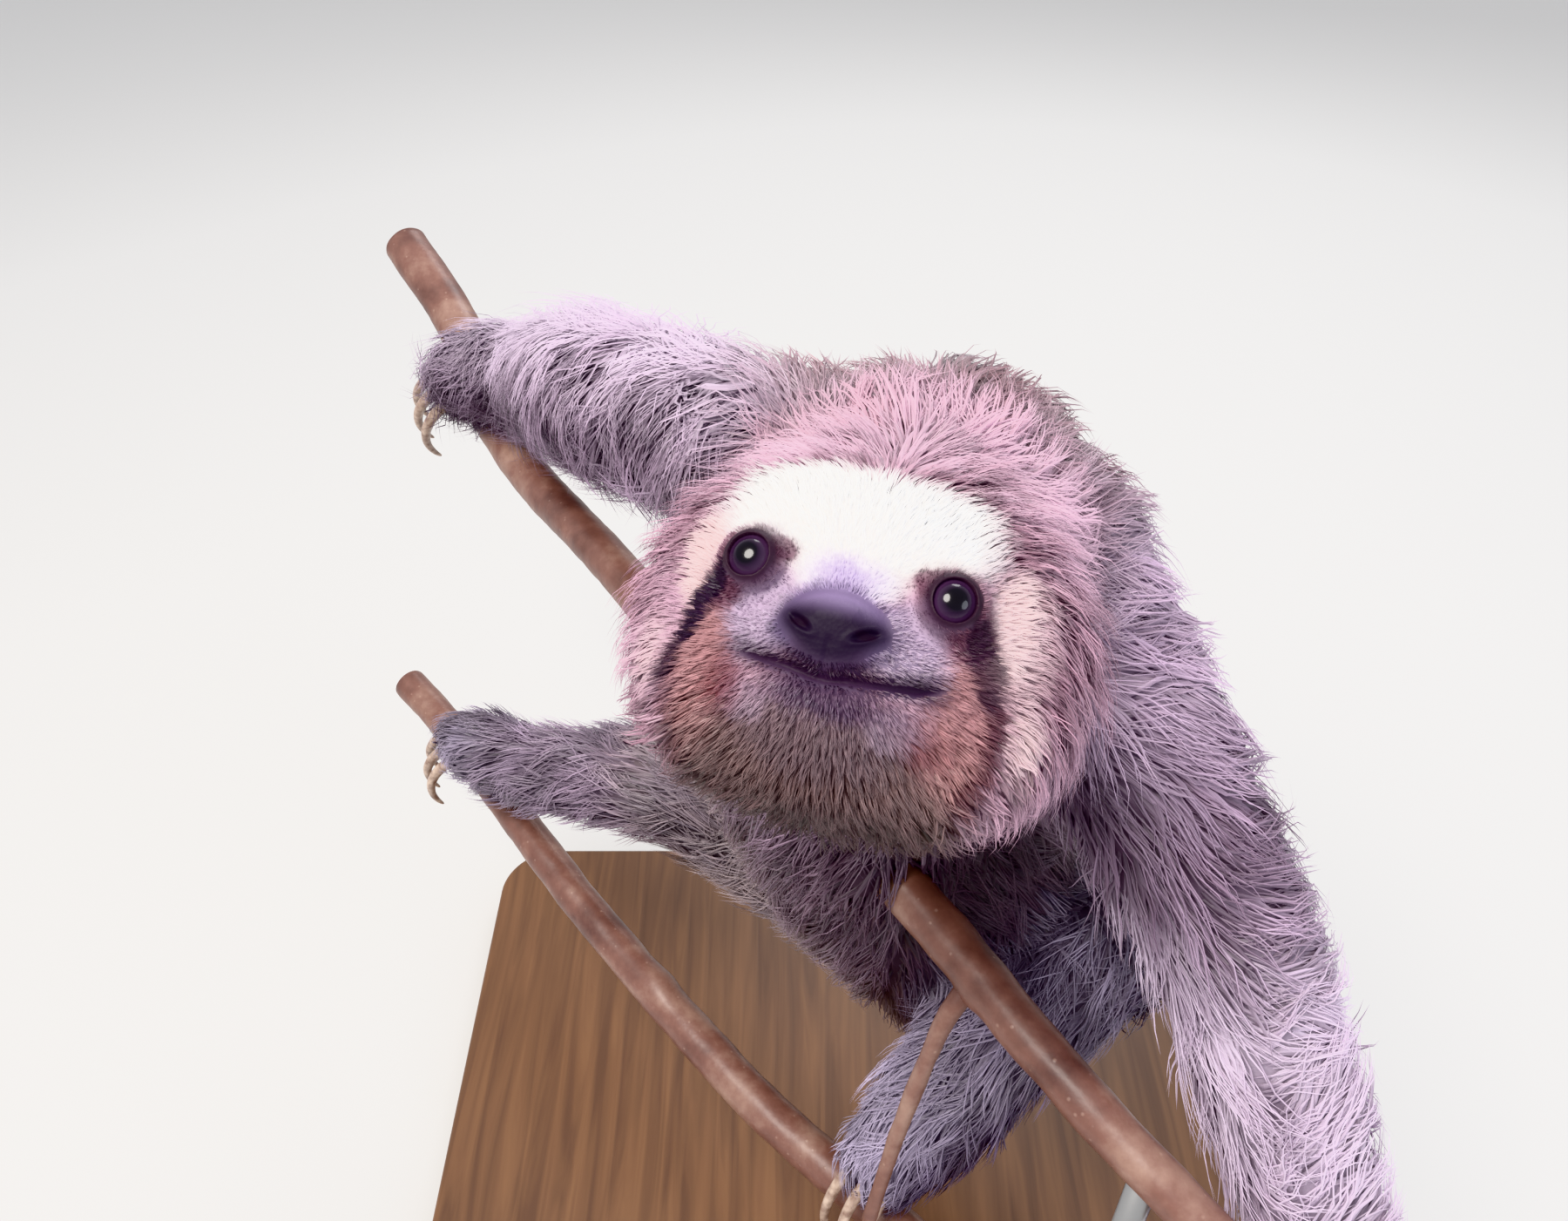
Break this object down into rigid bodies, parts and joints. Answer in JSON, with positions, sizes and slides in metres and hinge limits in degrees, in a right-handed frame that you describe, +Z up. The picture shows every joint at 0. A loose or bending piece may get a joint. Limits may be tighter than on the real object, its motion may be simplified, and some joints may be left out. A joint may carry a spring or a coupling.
{
  "type": "three-toed sloth model",
  "caption": "Brown-throated three-toed sloth as a still, life-size museum model, gripping two cut branches above a flat base.",
  "frame": {"origin": "middle of the bounding box, on the underside of the stand's base", "axes": "+Z up; the animal's chest and face are towards -Y and its left side is towards +X; +Y is behind it"},
  "size_m": [0.3994, 0.519, 0.4528],
  "materials": {
    "coat": "long coarse coat, damp and tousled",
    "skin": "bare dark nose, moist",
    "eye": "dark brown, wet and glossy",
    "claw": "horn, pale yellow-brown, worn to a soft shine",
    "bark": "smooth reddish bark, cut ends",
    "base": "satin lacquered hardwood",
    "steel": "brushed round rod"
  },
  "bodies": {
    "root": {"head": "coat", "neck": "coat", "trunk": "coat", "tail": "coat", "upper_arm_left": "coat", "forearm_left": "coat", "hand_left": "coat", "thigh_left": "coat", "shin_left": "coat", "foot_left": "coat", "upper_arm_right": "coat", "forearm_right": "coat", "hand_right": "coat", "thigh_right": "coat", "shin_right": "coat", "foot_right": "coat", "nose": "skin", "eye_left": "eye", "eye_right": "eye", "claw_hand_left_1": "claw", "claw_hand_left_2": "claw", "claw_hand_left_3": "claw", "claw_hand_right_1": "claw", "claw_hand_right_2": "claw", "claw_hand_right_3": "claw", "claw_foot_left_1": "claw", "claw_foot_left_2": "claw", "claw_foot_left_3": "claw", "claw_foot_right_1": "claw", "claw_foot_right_2": "claw", "claw_foot_right_3": "claw", "branch_upper": "bark", "branch_lower": "bark", "stand_base": "base", "stand_rod_front": "steel", "stand_rod_rear": "steel"}
  },
  "joints": []
}
